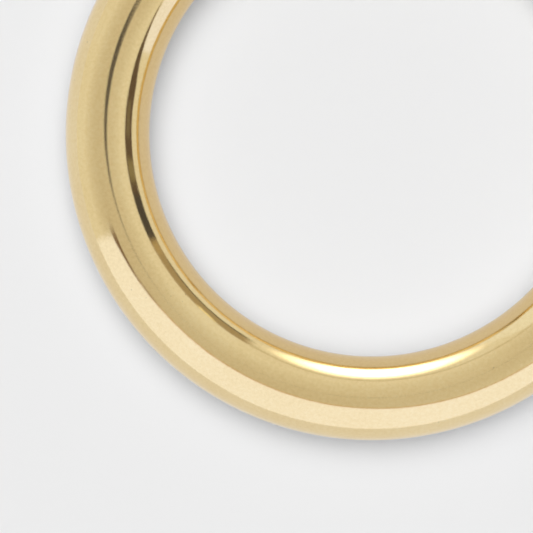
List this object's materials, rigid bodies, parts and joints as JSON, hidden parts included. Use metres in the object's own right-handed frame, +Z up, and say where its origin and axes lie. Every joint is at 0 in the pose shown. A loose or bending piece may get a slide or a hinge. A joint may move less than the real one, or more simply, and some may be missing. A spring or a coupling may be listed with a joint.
{
  "type": "split key ring",
  "caption": "Polished round-bar key ring, split by a sprung hinged gate that swings inward to take keys or straps.",
  "frame": {"origin": "under the centre of the ring, on the surface that the ring lies flat on", "axes": "+Z up along the ring's axis, +Y through the middle of the gate, +X to the right seen from above, so the rivet is at -X +Y and the latch at +X +Y"},
  "size_m": [0.035, 0.035, 0.0048],
  "materials": {
    "gold_brass": "polished",
    "spring_steel": "satin"
  },
  "bodies": {
    "ring": {"ring_body": "gold_brass"},
    "gate": {"gate": "gold_brass", "hinge_pin": "gold_brass", "gate_spring": "spring_steel"},
    "plunger": {"spring_plunger": "spring_steel"}
  },
  "joints": [
    {"name": "gate_hinge", "type": "hinge", "parent": "ring", "child": "gate", "pos_m": [-0.00888, 0.01222, 0.0024], "axis": [0, 0, -1], "range_deg": [0, 50], "stiffness_Nm_per_rad": 0.00269, "springref_deg": -163.69},
    {"name": "plunger_slide", "type": "slide", "parent": "gate", "child": "plunger", "axis": [0.8988, 0.4384, 0], "range_m": [0, 0.00062], "deforming": ["gate_spring"]}
  ],
  "couplings": [
    {"joint": "plunger_slide", "follows": "gate_hinge", "m_per_rad": 0.0007}
  ]
}
